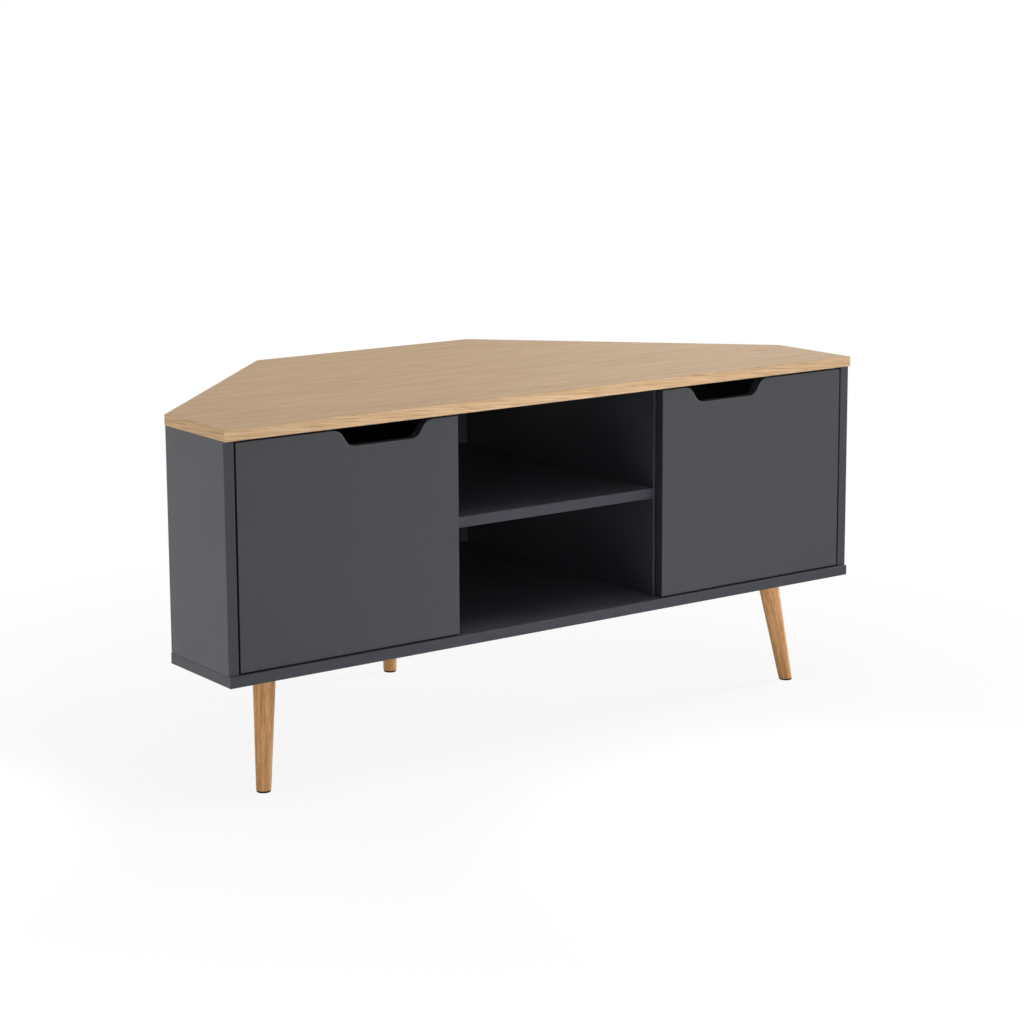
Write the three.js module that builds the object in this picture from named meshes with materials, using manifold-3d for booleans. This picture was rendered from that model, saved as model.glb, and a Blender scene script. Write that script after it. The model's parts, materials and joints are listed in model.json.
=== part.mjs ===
// A corner cabinet for a television: a six-sided oak-veneered top over a lacquered carcass,
// two doors with cut-out finger grips on single-pin concealed hinges, an open niche in two
// levels, and three tapered legs. Millimetres, +Z up, front towards -Y, origin on the floor
// under the middle of the outline.

import * as THREE from 'three';
import { mergeVertices } from 'three/addons/utils/BufferGeometryUtils.js';
import Module from 'manifold-3d';

const wasm = await Module();
wasm.setup();

// Overall sizes
const cabinetWidth = 1150;
const cabinetDepth = 550;
const cabinetHeight = 535;
const legHeight = 175;
const sideReturn = 170; // length of the short side edges of top and base
const backWidth = 410; // length of the edge that faces the room's corner

// Boards
const topThickness = 16;
const baseThickness = 16;
const carcassThickness = 16;
const shelfThickness = 16;
const doorThickness = 16;
const backThickness = 5;
const bandThickness = 1; // oak edge band round the top
const easedEdge = 0.75; // rounded-over arrises of the lacquered boards
const frontSetback = 4; // doors and side panels behind the front edge of top and base
const rearSetback = 1; // side panels and dividers in front of the rear edges
const nicheWidth = 374;
const lowerNicheHeight = 155;
const shelfEndClearance = 0.5;
const shelfBackClearance = 2;

// Back panels, held in grooves
const backInset = 20; // outer face of the back panels inside the rear edges
const grooveDepth = 5;
const grooveClearance = 0.3;
const cableHoleDiameter = 60;

// Doors
const doorSideGap = 3;
const doorTopGap = 3;
const doorBottomGap = 2;
const doorReveal = 3; // how much of each divider's front edge shows beside the door
const bumperGap = 2; // between a door's back and the divider's front edge
const notchTopWidth = 145;
const notchBottomWidth = 115;
const notchDepth = 25;
const notchToFreeEdge = 127.5; // middle of the notch from the door's free edge
const notchTopRadius = 20;
const notchBottomRadius = 18;

// Door bumpers and shelf pins
const bumperDiameter = 8;
const bumperEndDistance = 30; // from the ends of the door
const shelfPinDiameter = 5;
const shelfPinHoleDepth = 8;
const shelfPinReach = 9; // under the shelf
const shelfPinSetback = 45; // from the shelf's front and back edges

// Legs
const legTopDiameter = 34;
const legFootDiameter = 21.5;
const legSplayOut = 21; // foot outside the top of the leg, towards the side
const legSplayForward = 27; // foot in front of the top of the leg
const footFromSide = 80;
const footFromFront = 55;
const footFromBack = 64;
const padThickness = 2.5;
const padMargin = 0.5; // pad's edge inside the leg's

// Leg fastening
const boltDiameter = 8;
const boltInLeg = 30;
const boltInBase = 11;
const insertDiameter = 12;
const insertHeight = 12.5;

// Hinges: u runs from the door's hinge edge towards its free edge, w from its front to the back
const hingeEndDistance = 60; // hinge's middle from the ends of the door
const pinFromEdge = 12; // u of the pin
const pinFromFront = 8; // w of the pin
const hingePinDiameter = 2.4;
const cupFromEdge = 22.5;
const cupDiameter = 35;
const cupDepth = 12.2;
const cupWall = 2;
const cupFloor = 0.8;
const flangeThickness = 1.2;
const flangeDiameter = 40;
const wingLength = 59;
const wingWidth = 14;
const wingCornerRadius = 5;
const wingOffset = 9.5; // wing's middle beyond the cup's, towards the free edge
const wingHoleSpacing = 45;
const flangeHoleDiameter = 4.5;
const armThickness = 2.5;
const armNeckWidth = 10;
const armBodyWidth = 15;
const eyeDiameter = 6;
const armReach = 16; // from the pin to the neck's outer bend
const armBehindDoor = 17; // from the door's back to the crossing part
const armBend = 5; // radius of the bends at the neck
const armBodyLength = 44;
const plateThickness = 3.5;
const plateLength = 42;
const plateWidth = 15;
const plateWingSpan = 44;
const plateWingLength = 13;
const plateHoleSpacing = 32;
const plateCornerRadius = 2.5;

// Fits
const seatClearance = 0.3; // round pieces in their holes and on their seats
const pinClearance = 0.2; // hinge eye round its pin
const cutOverrun = 5;
const roundSegments = 32;
const smallSegments = 20;
const notchSegments = 6;
const bendSegments = 4;
const cornerSegments = 2;

// Places worked out from the sizes
const halfWidth = cabinetWidth / 2;
const halfDepth = cabinetDepth / 2;
const frontY = -halfDepth;
const baseTopZ = legHeight + baseThickness;
const topUndersideZ = cabinetHeight - topThickness;
const carcassHeight = topUndersideZ - baseTopZ;
const carcassFrontY = frontY + frontSetback;
const sideInnerX = halfWidth - carcassThickness;
const dividerInnerX = nicheWidth / 2;
const dividerOuterX = dividerInnerX + carcassThickness;
const doorHingeX = sideInnerX - doorSideGap;
const doorFreeX = dividerInnerX + doorReveal;
const doorWidth = doorHingeX - doorFreeX;
const doorBottomZ = baseTopZ + doorBottomGap;
const doorHeight = topUndersideZ - doorTopGap - doorBottomZ;
const doorBackY = carcassFrontY + doorThickness;
const dividerFrontY = doorBackY + bumperGap;
const shelfUndersideZ = baseTopZ + lowerNicheHeight;
const backOuterY = halfDepth - backInset;
const backInnerY = backOuterY - backThickness;

// Materials
const material = (name, color, roughness, metalness = 0) =>
  new THREE.MeshStandardMaterial({ name, color, roughness, metalness });
const oakVeneer = material('oak_veneer', 0xba9d80, 0.55);
const oakBand = material('oak_band', 0xcdaa80, 0.55);
const oakSolid = material('oak_leg', 0xb08255, 0.5);
const lacquer = material('anthracite_lacquer', 0x4b4b4e, 0.45);
const padPlastic = material('pad_plastic', 0x3a3028, 0.7);
const bumperPlastic = material('bumper_plastic', 0xd8d8d2, 0.4);
const hingeSteel = material('hinge_steel', 0xb9bbbd, 0.3, 1);
const zincSteel = material('zinc_steel', 0xa9a9a4, 0.35, 1);
const insertBrass = material('insert_brass', 0xb5934f, 0.35, 1);

// Solids

/** The solid that a closed geometry bounds. */
function toSolid(geometry) {
  const bare = geometry.clone();
  bare.deleteAttribute('normal');
  bare.deleteAttribute('uv');
  const merged = mergeVertices(bare);
  return new wasm.Manifold(new wasm.Mesh({
    numProp: 3,
    vertProperties: merged.attributes.position.array,
    triVerts: Uint32Array.from(merged.index.array),
  }));
}

/** The geometry of a solid. */
function toGeometry(solid) {
  const { vertProperties, triVerts } = solid.getMesh();
  const geometry = new THREE.BufferGeometry();
  geometry.setAttribute('position', new THREE.BufferAttribute(vertProperties, 3));
  geometry.setIndex(new THREE.BufferAttribute(triVerts, 1));
  return geometry;
}

/** Joins or cuts a piece with others placed in the same parent, in the piece's own frame. */
function combine(piece, others, operation) {
  piece.updateMatrix();
  const intoPiece = piece.matrix.clone().invert();
  let solid = toSolid(piece.geometry);
  for (const other of others) {
    other.updateMatrix();
    const moved = other.geometry.clone().applyMatrix4(intoPiece.clone().multiply(other.matrix));
    solid = solid[operation](toSolid(moved));
  }
  piece.geometry = toGeometry(solid);
  return piece;
}
const cut = (piece, ...tools) => combine(piece, tools, 'subtract');
const join = (piece, ...others) => combine(piece, others, 'add');
const trim = (piece, ...limits) => combine(piece, limits, 'intersect');

/** A named mesh at a place, turned if need be. */
function place(name, geometry, finish, [x, y, z] = [0, 0, 0], [rx, ry, rz] = [0, 0, 0]) {
  const mesh = new THREE.Mesh(geometry, finish);
  mesh.name = name;
  mesh.position.set(x, y, z);
  mesh.rotation.set(rx, ry, rz);
  return mesh;
}
const tool = (geometry, position, rotation) => place('tool', geometry, lacquer, position, rotation);

// Turns for shapes and bars made flat on z = 0
const facingFront = [Math.PI / 2, 0, 0]; // x, y become X, Z; thickness runs to -Y
const facingSide = [Math.PI / 2, Math.PI / 2, 0]; // x, y become Y, Z; thickness runs to +X
const lyingOnSide = [0, -Math.PI / 2, 0]; // x, y become Z, Y; thickness runs to -X

/** A closed shape through corners [x, y, radius], each rounded by its radius. */
function roundedShape(corners) {
  const shape = new THREE.Shape();
  corners.forEach(([x, y, radius = 0], i) => {
    const [beforeX, beforeY] = corners.at(i - 1);
    const [afterX, afterY] = corners[(i + 1) % corners.length];
    const corner = new THREE.Vector2(x, y);
    const back = new THREE.Vector2(beforeX, beforeY).sub(corner).normalize();
    const ahead = new THREE.Vector2(afterX, afterY).sub(corner).normalize();
    const half = Math.acos(back.dot(ahead)) / 2;
    const start = corner.clone().addScaledVector(back, radius / Math.tan(half));
    if (i === 0) shape.moveTo(start.x, start.y);
    else shape.lineTo(start.x, start.y);
    if (radius === 0) return;
    const end = corner.clone().addScaledVector(ahead, radius / Math.tan(half));
    const middle = back.clone().add(ahead).normalize();
    const centre = corner.clone().addScaledVector(middle, radius / Math.sin(half));
    const from = start.sub(centre).angle();
    const to = end.sub(centre).angle();
    shape.absarc(centre.x, centre.y, radius, from, to, back.cross(ahead) > 0);
  });
  shape.closePath();
  return shape;
}

/** A flat board on z = 0, its arrises rounded over by the eased edge. */
function board(shape, thickness, edge = easedEdge, segments = cornerSegments) {
  const geometry = new THREE.ExtrudeGeometry(shape, {
    depth: thickness - 2 * edge,
    bevelEnabled: edge > 0,
    bevelThickness: edge,
    bevelSize: edge,
    bevelOffset: -edge,
    bevelSegments: 2,
    curveSegments: segments,
  });
  return geometry.translate(0, 0, edge);
}
const plainBoard = (shape, thickness) => board(shape, thickness, 0);

/** A rectangle with its lower left corner at (x, y). */
function rectangle(x, y, width, height, radius = 0) {
  return roundedShape([
    [x, y, radius],
    [x + width, y, radius],
    [x + width, y + height, radius],
    [x, y + height, radius],
  ]);
}

/** A round bar along Z, standing on z = 0. */
function bar(diameter, length, segments = smallSegments) {
  const geometry = new THREE.CylinderGeometry(diameter / 2, diameter / 2, length, segments);
  return geometry.rotateX(Math.PI / 2).translate(0, 0, length / 2);
}

// Outline of top and base, anticlockwise from the front left corner

const outline = [
  new THREE.Vector2(-halfWidth, frontY),
  new THREE.Vector2(halfWidth, frontY),
  new THREE.Vector2(halfWidth, frontY + sideReturn),
  new THREE.Vector2(backWidth / 2, halfDepth),
  new THREE.Vector2(-backWidth / 2, halfDepth),
  new THREE.Vector2(-halfWidth, frontY + sideReturn),
];
const edgeNames = ['front', 'right', 'back_right', 'back', 'back_left', 'left'];
const backRightEdge = edgeNames.indexOf('back_right');

/** Where two lines meet, each given by a point and a direction. */
function crossing(pointA, alongA, pointB, alongB) {
  const share = pointB.clone().sub(pointA).cross(alongB) / alongA.cross(alongB);
  return pointA.clone().addScaledVector(alongA, share);
}

/** The outline with each edge moved inwards by the distance. */
function inset(distance) {
  const count = outline.length;
  const lines = outline.map((point, i) => {
    const along = outline[(i + 1) % count].clone().sub(point).normalize();
    const inwards = new THREE.Vector2(-along.y, along.x);
    return { point: point.clone().addScaledVector(inwards, distance), along };
  });
  return lines.map(({ point, along }, i) => {
    const before = lines.at(i - 1);
    return crossing(before.point, before.along, point, along);
  });
}

/** The y of the right-hand slanted edge, moved inwards by the distance, at an x. */
function slantY(distance, x) {
  const points = inset(distance);
  const [from, to] = [points[backRightEdge], points[backRightEdge + 1]];
  return from.y + (to.y - from.y) * (x - from.x) / (to.x - from.x);
}

// Back panels, and the grooves that hold them

/** Plan of the middle back panel, its ends in the dividers' grooves, grown on all sides. */
function middleBackPlan(grow) {
  const reach = dividerInnerX + grooveDepth + grow;
  return [
    [-reach, backInnerY - grow],
    [reach, backInnerY - grow],
    [reach, backOuterY + grow],
    [-reach, backOuterY + grow],
  ];
}

/** Plan of a slanted back panel, from the side panel's groove to the divider's, grown on all sides. */
function slantedBackPlan(hand, grow) {
  const outerX = sideInnerX + grooveDepth + grow;
  const innerX = dividerOuterX - grooveDepth - grow;
  const outerFace = backInset - grow;
  const innerFace = backInset + backThickness + grow;
  return [
    [hand * outerX, slantY(innerFace, outerX)],
    [hand * outerX, slantY(outerFace, outerX)],
    [hand * innerX, slantY(outerFace, innerX)],
    [hand * innerX, slantY(innerFace, innerX)],
  ];
}

/** A back panel or its groove cutter: its plan, standing between base and top. */
function uprightPanel(plan, grow) {
  const height = carcassHeight + 2 * (grooveDepth + grow);
  return plainBoard(roundedShape(plan), height);
}
const backZ = (grow) => baseTopZ - grooveDepth - grow;
const grooveTools = () => [
  middleBackPlan(grooveClearance),
  slantedBackPlan(-1, grooveClearance),
  slantedBackPlan(1, grooveClearance),
].map((plan) => tool(uprightPanel(plan, grooveClearance), [0, 0, backZ(grooveClearance)]));

function backPanels() {
  const height = [0, 0, backZ(0)];
  const middle = place('back_panel_centre', uprightPanel(middleBackPlan(0), 0), lacquer, height);
  const lowerHoleZ = baseTopZ + lowerNicheHeight / 2;
  const upperHoleZ = (shelfUndersideZ + shelfThickness + topUndersideZ) / 2;
  const holeLength = backThickness + 2 * cutOverrun;
  for (const z of [lowerHoleZ, upperHoleZ]) {
    const hole = bar(cableHoleDiameter, holeLength, roundSegments);
    cut(middle, tool(hole, [0, backOuterY + cutOverrun, z], facingFront));
  }
  const left = place('back_panel_left', uprightPanel(slantedBackPlan(-1, 0), 0), lacquer, height);
  const right = place('back_panel_right', uprightPanel(slantedBackPlan(1, 0), 0), lacquer, height);
  return [middle, left, right];
}

// Top with its edge bands, and base

function topWithBands() {
  const z = [0, 0, topUndersideZ];
  const core = inset(bandThickness);
  const panel = plainBoard(roundedShape(core.map(({ x, y }) => [x, y])), topThickness);
  const top = cut(place('top_panel', panel, oakVeneer, z), ...grooveTools());
  const whole = board(roundedShape(outline.map(({ x, y }) => [x, y])), topThickness);
  const mitreEnds = inset(-bandThickness);
  const bands = edgeNames.map((edge, i) => {
    const next = (i + 1) % outline.length;
    const strip = [core[i], mitreEnds[i], mitreEnds[next], core[next]].map(({ x, y }) => [x, y]);
    const height = topThickness + 2 * bandThickness;
    const limit = tool(plainBoard(roundedShape(strip), height), [0, 0, topUndersideZ - bandThickness]);
    return trim(place(`top_band_${edge}`, whole.clone(), oakBand, z), limit);
  });
  return [top, ...bands];
}

/** Middle of each leg's foot and of its top, in plan. */
const footX = halfWidth - footFromSide;
const footY = frontY + footFromFront;
const legs = [
  { name: 'front_left_leg', foot: [-footX, footY], lean: [legSplayOut, legSplayForward] },
  { name: 'front_right_leg', foot: [footX, footY], lean: [-legSplayOut, legSplayForward] },
  { name: 'back_leg', foot: [0, halfDepth - footFromBack], lean: [0, 0] },
].map((leg) => ({ ...leg, top: [leg.foot[0] + leg.lean[0], leg.foot[1] + leg.lean[1]] }));

function base() {
  const shape = roundedShape(outline.map(({ x, y }) => [x, y]));
  const panel = place('base_panel', board(shape, baseThickness), lacquer, [0, 0, legHeight]);
  const boreDepth = insertHeight + seatClearance;
  const bores = legs.map(({ top: [x, y] }) => {
    const bore = bar(insertDiameter + 2 * seatClearance, boreDepth + cutOverrun);
    return tool(bore, [x, y, legHeight - cutOverrun]);
  });
  return [cut(panel, ...grooveTools(), ...bores)];
}

// Side panels, dividers, shelf and its pins

const shelfBackY = backInnerY - shelfBackClearance;
const pinYs = { front: dividerFrontY + shelfPinSetback, back: shelfBackY - shelfPinSetback };
const shelfPinZ = shelfUndersideZ - shelfPinDiameter / 2 - seatClearance;

/** An upright board that faces the side, from x to x + thickness. */
function uprightBoard(name, x, fromY, toY) {
  const shape = rectangle(fromY, 0, toY - fromY, carcassHeight);
  return place(name, board(shape, carcassThickness), lacquer, [x, 0, baseTopZ], facingSide);
}

function carcassSide(hand) {
  const side = hand < 0 ? 'left' : 'right';
  const panelX = hand < 0 ? -halfWidth : sideInnerX;
  const dividerX = hand < 0 ? -dividerOuterX : dividerInnerX;
  const rearY = frontY + sideReturn - rearSetback;
  const panel = uprightBoard(`${side}_side_panel`, panelX, carcassFrontY, rearY);
  const divider = uprightBoard(`${side}_divider`, dividerX, dividerFrontY, halfDepth - rearSetback);
  const holeDiameter = shelfPinDiameter + 2 * seatClearance;
  const pinLength = shelfPinHoleDepth + shelfPinReach;
  const pins = [];
  for (const [end, y] of Object.entries(pinYs)) {
    const deepX = dividerInnerX + shelfPinHoleDepth;
    const hole = bar(holeDiameter, shelfPinHoleDepth + seatClearance + cutOverrun);
    const holeX = hand * (deepX + seatClearance);
    const turn = [0, -hand * Math.PI / 2, 0];
    cut(divider, tool(hole, [holeX, y, shelfPinZ], turn));
    const pin = bar(shelfPinDiameter, pinLength);
    pins.push(place(`shelf_pin_${side}_${end}`, pin, zincSteel, [hand * deepX, y, shelfPinZ], turn));
  }
  return [cut(panel, ...grooveTools()), cut(divider, ...grooveTools()), ...pins];
}

function shelf() {
  const halfLength = dividerInnerX - shelfEndClearance;
  const shape = rectangle(-halfLength, dividerFrontY, 2 * halfLength, shelfBackY - dividerFrontY);
  return [place('centre_shelf', board(shape, shelfThickness), lacquer, [0, 0, shelfUndersideZ])];
}

// Doors

const hingeZs = {
  upper: doorBottomZ + doorHeight - hingeEndDistance,
  lower: doorBottomZ + hingeEndDistance,
};
const cupBoreDepth = cupDepth + seatClearance;

/** Front view of a door, its free edge at x = 0 and its hinge edge at hand times its width. */
function doorShape(hand) {
  const notchTop = notchTopWidth / 2;
  const notchBottom = notchBottomWidth / 2;
  const notchZ = doorHeight - notchDepth;
  const corners = [
    [0, 0],
    [doorWidth, 0],
    [doorWidth, doorHeight],
    [notchToFreeEdge + notchTop, doorHeight, notchTopRadius],
    [notchToFreeEdge + notchBottom, notchZ, notchBottomRadius],
    [notchToFreeEdge - notchBottom, notchZ, notchBottomRadius],
    [notchToFreeEdge - notchTop, doorHeight, notchTopRadius],
    [0, doorHeight],
  ];
  return roundedShape(corners.map(([x, y, radius]) => [hand * x, y, radius]));
}

function door(hand) {
  const side = hand < 0 ? 'left' : 'right';
  const panel = board(doorShape(hand), doorThickness, easedEdge, notchSegments);
  const position = [hand * doorFreeX, doorBackY, doorBottomZ];
  const leaf = place(`${side}_door`, panel, lacquer, position, facingFront);
  const bores = Object.values(hingeZs).map((z) => {
    const bore = bar(cupDiameter + 2 * seatClearance, cupBoreDepth + cutOverrun, roundSegments);
    const cupX = hand * (doorHingeX - cupFromEdge);
    return tool(bore, [cupX, doorBackY + cutOverrun, z], facingFront);
  });
  return [cut(leaf, ...bores)];
}

function bumpers(hand) {
  const side = hand < 0 ? 'left' : 'right';
  const x = hand * (doorFreeX + dividerOuterX) / 2;
  const ends = {
    top: doorBottomZ + doorHeight - bumperEndDistance,
    bottom: doorBottomZ + bumperEndDistance,
  };
  return Object.entries(ends).map(([end, z]) => {
    const disc = bar(bumperDiameter, bumperGap - seatClearance);
    return place(`${side}_bumper_${end}`, disc, bumperPlastic, [x, dividerFrontY, z], facingFront);
  });
}

// Hinges, in a frame whose origin is the door's front hinge corner: X is u, Y is w

/** A strip of even thickness along a path in the plane. */
function stripShape(path, thickness) {
  const points = path.getPoints(bendSegments);
  const sides = [-thickness / 2, thickness / 2].map((offset) => points.map((point, i) => {
    const before = points[Math.max(i - 1, 0)];
    const after = points[Math.min(i + 1, points.length - 1)];
    const along = (from, to) => to.clone().sub(from).normalize();
    const legIn = i > 0 ? along(before, point) : along(point, after);
    const legOut = i < points.length - 1 ? along(point, after) : legIn;
    const mid = legIn.clone().add(legOut).normalize();
    const normal = new THREE.Vector2(-mid.y, mid.x);
    return point.clone().addScaledVector(normal, offset / mid.dot(legIn));
  }));
  return new THREE.Shape([...sides[0], ...sides[1].reverse()]);
}

/** The pressed cup in the door, with its flange on the door's back and a hole for the pin. */
function hingeCup(name) {
  const outer = cupDiameter / 2;
  const inner = outer - cupWall;
  const backW = doorThickness;
  const bottomW = backW - cupDepth;
  const topW = backW + flangeThickness;
  const profile = [
    [0, bottomW],
    [outer, bottomW],
    [outer, backW],
    [flangeDiameter / 2, backW],
    [flangeDiameter / 2, topW],
    [inner, topW],
    [inner, bottomW + cupFloor],
    [0, bottomW + cupFloor],
  ].map(([radius, w]) => new THREE.Vector2(radius, w));
  const shell = new THREE.LatheGeometry(profile, roundSegments);
  const cup = place(name, shell, hingeSteel, [cupFromEdge, 0, 0]);
  const wingX = wingOffset - wingWidth / 2;
  const wingShape = rectangle(wingX, -wingLength / 2, wingWidth, wingLength, wingCornerRadius);
  const wing = tool(plainBoard(wingShape, flangeThickness), [cupFromEdge, topW, 0], facingFront);
  const throughFlange = flangeThickness + 2 * cutOverrun;
  const mouthShape = bar(outer + inner, throughFlange, roundSegments);
  const mouth = tool(mouthShape, [cupFromEdge, topW + cutOverrun, 0], facingFront);
  const holes = [-wingHoleSpacing / 2, wingHoleSpacing / 2].map((z) => {
    const hole = bar(flangeHoleDiameter, throughFlange);
    return tool(hole, [cupFromEdge + wingOffset, topW + cutOverrun, z], facingFront);
  });
  const pinHole = bar(hingePinDiameter + 2 * seatClearance, 2 * outer);
  const pinTool = tool(pinHole, [pinFromEdge, pinFromFront, -outer]);
  return cut(join(cup, cut(wing, mouth)), ...holes, pinTool);
}

/** The pin across the cup, its ends within the cup's wall. */
function hingePin(name) {
  const reach = cupDiameter / 2 - seatClearance;
  const farSide = cupFromEdge - pinFromEdge + hingePinDiameter / 2;
  const halfLength = Math.sqrt(reach ** 2 - farSide ** 2);
  const pin = bar(hingePinDiameter, 2 * halfLength);
  return place(name, pin, zincSteel, [pinFromEdge, pinFromFront, -halfLength]);
}

const armU = -doorSideGap + plateThickness + seatClearance + armThickness / 2;
const neckU = pinFromEdge + armReach;
const crossingW = doorThickness + armBehindDoor;
const armBodyW = crossingW + armBend;

/** The arm: out of the cup, round the door's edge and back along the mounting plate. */
function hingeArm(name) {
  const neckPath = new THREE.Path();
  neckPath.moveTo(pinFromEdge, pinFromFront);
  neckPath.lineTo(neckU - armBend, pinFromFront);
  neckPath.absarc(neckU - armBend, pinFromFront + armBend, armBend, -Math.PI / 2, 0, false);
  neckPath.lineTo(neckU, crossingW - armBend);
  neckPath.absarc(neckU - armBend, crossingW - armBend, armBend, 0, Math.PI / 2, false);
  neckPath.lineTo(armU + armBend, crossingW);
  neckPath.absarc(armU + armBend, armBodyW, armBend, -Math.PI / 2, -Math.PI, true);
  neckPath.lineTo(armU, armBodyW + armBend);
  const neck = plainBoard(stripShape(neckPath, armThickness), armNeckWidth);
  const arm = place(name, neck.translate(0, 0, -armNeckWidth / 2), hingeSteel);
  const eye = tool(bar(eyeDiameter, armNeckWidth), [pinFromEdge, pinFromFront, -armNeckWidth / 2]);
  const bodyShape = rectangle(
    -armBodyWidth / 2, armBodyW, armBodyWidth, armBodyLength, plateCornerRadius);
  const bodyTopU = armU + armThickness / 2;
  const body = tool(plainBoard(bodyShape, armThickness), [bodyTopU, 0, 0], lyingOnSide);
  const holeLength = armNeckWidth + 2 * cutOverrun;
  const hole = bar(hingePinDiameter + 2 * pinClearance, holeLength);
  return cut(join(arm, eye, body), tool(hole, [pinFromEdge, pinFromFront, -holeLength / 2]));
}

/** The mounting plate on the side panel, with a wing above and below for its screws. */
function hingePlate(name) {
  const fromW = armBodyW + armBodyLength - plateLength;
  const wingFromW = fromW + (plateLength - plateWingLength) / 2;
  const wingToW = wingFromW + plateWingLength;
  const [half, span] = [plateWidth / 2, plateWingSpan / 2];
  const r = plateCornerRadius;
  const shape = roundedShape([
    [-half, fromW, r], [half, fromW, r], [half, wingFromW, r], [span, wingFromW, r],
    [span, wingToW, r], [half, wingToW, r], [half, fromW + plateLength, r],
    [-half, fromW + plateLength, r], [-half, wingToW, r], [-span, wingToW, r],
    [-span, wingFromW, r], [-half, wingFromW, r],
  ]);
  const faceU = plateThickness - doorSideGap;
  const sheet = plainBoard(shape, plateThickness);
  const plate = place(name, sheet, zincSteel, [faceU, 0, 0], lyingOnSide);
  const holes = [-plateHoleSpacing / 2, plateHoleSpacing / 2].map((z) => {
    const hole = bar(flangeHoleDiameter, plateThickness + 2 * cutOverrun);
    return tool(hole, [faceU + cutOverrun, (wingFromW + wingToW) / 2, z], lyingOnSide);
  });
  return cut(plate, ...holes);
}

/** One hinge; the right-hand one is the left-hand one turned half round about its w axis. */
function hinge(hand, level) {
  const side = hand < 0 ? 'left' : 'right';
  const name = `${side}_${level}_hinge`;
  const group = new THREE.Group();
  group.add(hingeCup(`${name}_cup`), hingePin(`${name}_pin`));
  group.add(hingeArm(`${name}_arm`), hingePlate(`${name}_plate`));
  group.position.set(hand * doorHingeX, carcassFrontY, hingeZs[level]);
  if (hand > 0) group.rotation.y = Math.PI;
  return group;
}

// Legs, in frames that stand on the floor at the middle of each foot

/** A tapered round bar along a leaning axis, cut level at two heights. */
function taperedSlice(lean, fromZ, toZ, margin) {
  const axis = new THREE.Vector3(...lean, legHeight);
  const taper = (legTopDiameter - legFootDiameter) / 2 / axis.length();
  const extra = legTopDiameter;
  const length = axis.length() + 2 * extra;
  const footRadius = legFootDiameter / 2 - margin - taper * extra;
  const topRadius = legTopDiameter / 2 - margin + taper * extra;
  const cone = new THREE.CylinderGeometry(topRadius, footRadius, length, roundSegments);
  const up = new THREE.Vector3(0, 1, 0);
  cone.applyQuaternion(new THREE.Quaternion().setFromUnitVectors(up, axis.clone().normalize()));
  cone.translate(...axis.multiplyScalar(1 / 2).toArray());
  const slab = new THREE.BoxGeometry(cabinetDepth, cabinetDepth, toZ - fromZ);
  return toGeometry(toSolid(cone).intersect(toSolid(slab.translate(0, 0, (fromZ + toZ) / 2))));
}

function leg({ name, foot, lean }) {
  const group = new THREE.Group();
  group.position.set(...foot, 0);
  const shaft = place(name, taperedSlice(lean, padThickness, legHeight, 0), oakSolid);
  const pad = place(`${name}_pad`, taperedSlice(lean, 0, padThickness, padMargin), padPlastic);
  const boreDepth = boltInLeg + seatClearance;
  const boreDiameter = boltDiameter + 2 * seatClearance;
  const bore = tool(bar(boreDiameter, boreDepth + cutOverrun), [...lean, legHeight - boreDepth]);
  const bolt = bar(boltDiameter, boltInLeg + boltInBase);
  const insert = bar(insertDiameter, insertHeight);
  const insertMesh = place(`${name}_insert`, insert, insertBrass, [...lean, legHeight]);
  const threadDepth = boltInBase + 2 * seatClearance;
  const thread = tool(bar(boreDiameter, threadDepth), [...lean, legHeight - seatClearance]);
  group.add(cut(shaft, bore), pad, cut(insertMesh, thread));
  group.add(place(`${name}_bolt`, bolt, zincSteel, [...lean, legHeight - boltInLeg]));
  return group;
}

const cabinet = new THREE.Group();
cabinet.add(...topWithBands(), ...base(), ...backPanels(), ...shelf());
for (const hand of [-1, 1]) {
  cabinet.add(...carcassSide(hand), ...door(hand), ...bumpers(hand));
  cabinet.add(hinge(hand, 'upper'), hinge(hand, 'lower'));
}
cabinet.add(...legs.map(leg));

export default cabinet;
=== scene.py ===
"""Dresses the corner television cabinet: finishes, turned legs, hinge screws, studio and camera."""

import json
import logging
import math
from dataclasses import dataclass, field
from enum import Enum
from typing import Any, Iterable

import bmesh
import bpy
from mathutils import Matrix, Vector

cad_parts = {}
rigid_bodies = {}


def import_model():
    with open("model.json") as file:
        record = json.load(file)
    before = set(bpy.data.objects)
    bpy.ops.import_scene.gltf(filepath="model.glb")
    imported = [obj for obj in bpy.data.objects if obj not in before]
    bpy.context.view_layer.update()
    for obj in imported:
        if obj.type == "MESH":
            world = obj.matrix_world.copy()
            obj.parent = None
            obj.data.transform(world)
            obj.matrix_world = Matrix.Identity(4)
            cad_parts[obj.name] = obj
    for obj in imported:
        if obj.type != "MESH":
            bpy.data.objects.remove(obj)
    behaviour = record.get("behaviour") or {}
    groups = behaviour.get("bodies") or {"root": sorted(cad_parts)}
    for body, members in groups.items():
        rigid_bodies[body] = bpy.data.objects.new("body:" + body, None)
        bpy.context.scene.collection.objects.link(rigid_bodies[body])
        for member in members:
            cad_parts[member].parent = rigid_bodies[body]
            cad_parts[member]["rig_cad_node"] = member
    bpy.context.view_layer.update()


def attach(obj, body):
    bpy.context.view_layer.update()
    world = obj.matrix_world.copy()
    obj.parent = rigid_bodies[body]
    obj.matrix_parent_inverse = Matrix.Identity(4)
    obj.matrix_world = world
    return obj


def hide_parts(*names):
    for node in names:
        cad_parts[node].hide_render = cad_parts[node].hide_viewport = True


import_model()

log = logging.getLogger("corner_cabinet")

# Lengths are in metres, and MM times a number gives millimetres in them.
MM = 0.001
WELD = 0.001 * MM
SAME_HEIGHT = 1e-6
LOOKS_UP = 0.999
CREASE = math.radians(32)

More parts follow.
